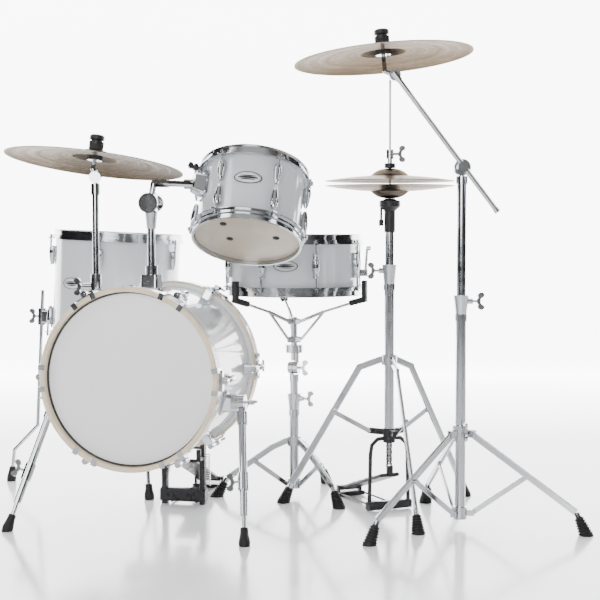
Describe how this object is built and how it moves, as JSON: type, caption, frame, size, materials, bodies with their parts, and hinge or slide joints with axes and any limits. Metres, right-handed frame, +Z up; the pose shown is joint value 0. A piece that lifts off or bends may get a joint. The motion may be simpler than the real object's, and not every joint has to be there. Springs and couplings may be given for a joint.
{
  "type": "acoustic drum kit",
  "caption": "Compact acoustic drum kit: bass drum with spurs and pedal, rack tom, legged floor tom, snare on a stand, pedal hi-hat, and crash and boom-mounted ride cymbals.",
  "frame": {"origin": "on the floor under the centre of the kit's bounding box", "axes": "+Z up; Y runs along the bass drum's axis with its front head towards -Y; +X to the audience's right, where the boom stand is"},
  "size_m": [1.6614, 1.0725, 1.2086],
  "materials": {
    "shell": "glossy white lacquered wrap",
    "head": "coated drum head, satin white",
    "hoop_wood": "clear lacquered maple",
    "chrome": "polished chrome",
    "cymbal": "lathed bronze",
    "felt": "dark felt",
    "black_metal": "black powder coat",
    "rubber": "moulded rubber"
  },
  "bodies": {
    "kit": {"bass_shell": "shell", "bass_hoops": "hoop_wood", "bass_heads": "head", "bass_lugs": "chrome", "bass_claws": "chrome", "bass_brackets": "chrome", "floor_tom_shell": "shell", "floor_tom_hoops": "chrome", "floor_tom_heads": "head", "floor_tom_lugs": "chrome", "floor_tom_leg_brackets": "chrome", "snare_stand_base": "chrome", "hihat_stand_base": "chrome", "hihat_pedal_frame": "black_metal", "boom_stand_base": "chrome", "stand_feet": "rubber", "bass_pedal_frame": "black_metal"},
    "left_spur": {"left_spur": "chrome"},
    "right_spur": {"right_spur": "chrome"},
    "crash_tube": {"crash_tube": "chrome"},
    "crash_tilter": {"crash_tilter": "chrome", "crash_felts": "felt"},
    "crash_cymbal": {"crash_cymbal": "cymbal"},
    "tom_post": {"tom_post": "chrome"},
    "tom": {"tom_arm": "chrome", "tom_shell": "shell", "tom_hoops": "chrome", "tom_heads": "head", "tom_lugs": "chrome", "tom_bracket": "chrome"},
    "floor_tom_leg_left": {"floor_tom_leg_left": "chrome"},
    "floor_tom_leg_front": {"floor_tom_leg_front": "chrome"},
    "floor_tom_leg_rear": {"floor_tom_leg_rear": "chrome"},
    "snare_stand_post": {"snare_stand_post": "chrome"},
    "snare": {"snare_basket": "chrome", "snare_shell": "shell", "snare_hoops": "chrome", "snare_heads": "head", "snare_lugs": "chrome", "snare_strainer": "chrome"},
    "snare_lever": {"snare_strainer_lever": "chrome"},
    "hihat_tube": {"hihat_tube": "chrome", "hihat_bottom_cymbal": "cymbal"},
    "hihat_pull_rod": {"hihat_rod": "chrome", "hihat_top_cymbal": "cymbal"},
    "hihat_footboard": {"hihat_footboard": "black_metal"},
    "boom_leg_collar": {"boom_leg_collar": "chrome"},
    "boom_leg_front": {"boom_leg_front": "chrome"},
    "boom_leg_right": {"boom_leg_right": "chrome"},
    "boom_leg_rear": {"boom_leg_rear": "chrome"},
    "boom_stay_front": {"boom_stay_front": "chrome"},
    "boom_stay_right": {"boom_stay_right": "chrome"},
    "boom_stay_rear": {"boom_stay_rear": "chrome"},
    "boom_post": {"boom_post": "chrome"},
    "boom_arm": {"boom_arm": "chrome"},
    "ride_tilter": {"ride_tilter": "chrome", "ride_felts": "felt"},
    "ride_cymbal": {"ride_cymbal": "cymbal"},
    "bass_pedal_footboard": {"bass_pedal_footboard": "black_metal"},
    "bass_pedal_beater": {"bass_pedal_beater": "black_metal"}
  },
  "joints": [
    {"name": "left_spur_fold", "type": "hinge", "parent": "kit", "child": "left_spur", "pos_m": [-0.4754, -0.3005, 0.312], "axis": [1, 0, 0], "range_deg": [0, 110]},
    {"name": "right_spur_fold", "type": "hinge", "parent": "kit", "child": "right_spur", "pos_m": [0.0006, -0.3005, 0.312], "axis": [1, 0, 0], "range_deg": [0, 110]},
    {"name": "crash_height", "type": "slide", "parent": "kit", "child": "crash_tube", "axis": [0, 0, 1], "range_m": [0, 0.02]},
    {"name": "crash_tilt", "type": "hinge", "parent": "crash_tube", "child": "crash_tilter", "pos_m": [-0.3567, -0.3282, 0.852], "axis": [-0.2079, 0.9781, 0], "range_deg": [-20, 2.5]},
    {"name": "crash_swing", "type": "hinge", "parent": "crash_tilter", "child": "crash_cymbal", "pos_m": [-0.35891, -0.31784, 0.91659], "axis": [0.8437, 0.5179, -0.1415], "range_deg": [-6, 6], "stiffness_Nm_per_rad": 2, "deforming": ["crash_felts"]},
    {"name": "tom_height", "type": "slide", "parent": "kit", "child": "tom_post", "axis": [0, 0, 1], "range_m": [-0.05, 0.01]},
    {"name": "tom_tilt", "type": "hinge", "parent": "tom_post", "child": "tom", "pos_m": [-0.2414, -0.2505, 0.791], "axis": [1, 0, 0], "range_deg": [-10, 10]},
    {"name": "floor_tom_leg_left_slide", "type": "slide", "parent": "kit", "child": "floor_tom_leg_left", "axis": [-0.046, -0.0098, -0.9989], "range_m": [-0.15, 0.06]},
    {"name": "floor_tom_leg_front_slide", "type": "slide", "parent": "kit", "child": "floor_tom_leg_front", "axis": [-0.046, -0.0098, -0.9989], "range_m": [-0.15, 0.06]},
    {"name": "floor_tom_leg_rear_slide", "type": "slide", "parent": "kit", "child": "floor_tom_leg_rear", "axis": [-0.046, -0.0098, -0.9989], "range_m": [-0.15, 0.06]},
    {"name": "snare_height", "type": "slide", "parent": "kit", "child": "snare_stand_post", "axis": [0, 0, 1], "range_m": [-0.025, 0.05]},
    {"name": "snare_tilt", "type": "hinge", "parent": "snare_stand_post", "child": "snare", "pos_m": [0.0286, 0.1605, 0.351], "axis": [0.9903, -0.1392, 0], "range_deg": [-8, 8]},
    {"name": "strainer_lever_turn", "type": "hinge", "parent": "snare", "child": "snare_lever", "pos_m": [0.21923, 0.18729, 0.609], "axis": [-0.1392, 0.9903, 0], "range_deg": [0, 80]},
    {"name": "hihat_height", "type": "slide", "parent": "kit", "child": "hihat_tube", "axis": [0, 0, 1], "range_m": [-0.07, 0]},
    {"name": "hihat_pull", "type": "slide", "parent": "kit", "child": "hihat_pull_rod", "axis": [0, 0, -1], "range_m": [0, 0.0105], "stiffness_N_per_m": 400, "springref_m": -0.06},
    {"name": "hihat_pedal_press", "type": "hinge", "parent": "kit", "child": "hihat_footboard", "pos_m": [0.17359, 0.20299, 0.022], "axis": [0.7986, 0.6018, 0], "range_deg": [0, 2.7]},
    {"name": "boom_fold", "type": "slide", "parent": "kit", "child": "boom_leg_collar", "axis": [0, 0, 1], "range_m": [0, 0.08]},
    {"name": "boom_leg_front_hinge", "type": "hinge", "parent": "boom_leg_collar", "child": "boom_leg_front", "pos_m": [0.49241, -0.16623, 0.23], "axis": [0.7976, -0.6032, 0], "range_deg": [0, 23.3]},
    {"name": "boom_stay_front_hinge", "type": "hinge", "parent": "kit", "child": "boom_stay_front", "pos_m": [0.49241, -0.16623, 0.035], "axis": [0.7976, -0.6032, 0], "range_deg": [-25.8, 0]},
    {"name": "boom_leg_right_hinge", "type": "hinge", "parent": "boom_leg_collar", "child": "boom_leg_right", "pos_m": [0.53788, -0.14702, 0.23], "axis": [0.1236, 0.9923, 0], "range_deg": [0, 23.3]},
    {"name": "boom_stay_right_hinge", "type": "hinge", "parent": "kit", "child": "boom_stay_right", "pos_m": [0.53788, -0.14702, 0.035], "axis": [0.1236, 0.9923, 0], "range_deg": [-25.8, 0]},
    {"name": "boom_leg_rear_hinge", "type": "hinge", "parent": "boom_leg_collar", "child": "boom_leg_rear", "pos_m": [0.49851, -0.11725, 0.23], "axis": [-0.9212, -0.3891, 0], "range_deg": [0, 23.3]},
    {"name": "boom_stay_rear_hinge", "type": "hinge", "parent": "kit", "child": "boom_stay_rear", "pos_m": [0.49851, -0.11725, 0.035], "axis": [-0.9212, -0.3891, 0], "range_deg": [-25.8, 0]},
    {"name": "boom_height", "type": "slide", "parent": "kit", "child": "boom_post", "axis": [0, 0, 1], "range_m": [-0.01, 0.1]},
    {"name": "boom_tilt", "type": "hinge", "parent": "boom_post", "child": "boom_arm", "pos_m": [0.5096, -0.1435, 0.876], "axis": [-0.2079, 0.9781, 0], "range_deg": [-2, 30]},
    {"name": "ride_tilt", "type": "hinge", "parent": "boom_arm", "child": "ride_tilter", "pos_m": [0.34918, -0.1776, 1.096], "axis": [-0.2079, 0.9781, 0], "range_deg": [-15, 15]},
    {"name": "ride_swing", "type": "hinge", "parent": "ride_tilter", "child": "ride_cymbal", "pos_m": [0.3206, -0.18168, 1.16882], "axis": [-0.2026, 0.9775, -0.0588], "range_deg": [-8, 8], "stiffness_Nm_per_rad": 2, "deforming": ["ride_felts"]},
    {"name": "bass_pedal_press", "type": "hinge", "parent": "kit", "child": "bass_pedal_footboard", "pos_m": [-0.2344, 0.2415, 0.024], "axis": [1, 0, 0], "range_deg": [0, 14], "stiffness_Nm_per_rad": 4, "springref_deg": -22.92},
    {"name": "bass_beater_swing", "type": "hinge", "parent": "kit", "child": "bass_pedal_beater", "pos_m": [-0.2344, -0.0045, 0.15], "axis": [1, 0, 0], "range_deg": [0, 46]}
  ],
  "couplings": [
    {"joint": "hihat_pedal_press", "follows": "hihat_pull", "rad_per_m": 4.35},
    {"joint": "boom_leg_front_hinge", "follows": "boom_fold", "rad_per_m": 5.06},
    {"joint": "boom_stay_front_hinge", "follows": "boom_fold", "rad_per_m": -5.614},
    {"joint": "boom_leg_right_hinge", "follows": "boom_fold", "rad_per_m": 5.06},
    {"joint": "boom_stay_right_hinge", "follows": "boom_fold", "rad_per_m": -5.614},
    {"joint": "boom_leg_rear_hinge", "follows": "boom_fold", "rad_per_m": 5.06},
    {"joint": "boom_stay_rear_hinge", "follows": "boom_fold", "rad_per_m": -5.614},
    {"joint": "bass_beater_swing", "follows": "bass_pedal_press", "ratio": 3.2857}
  ]
}
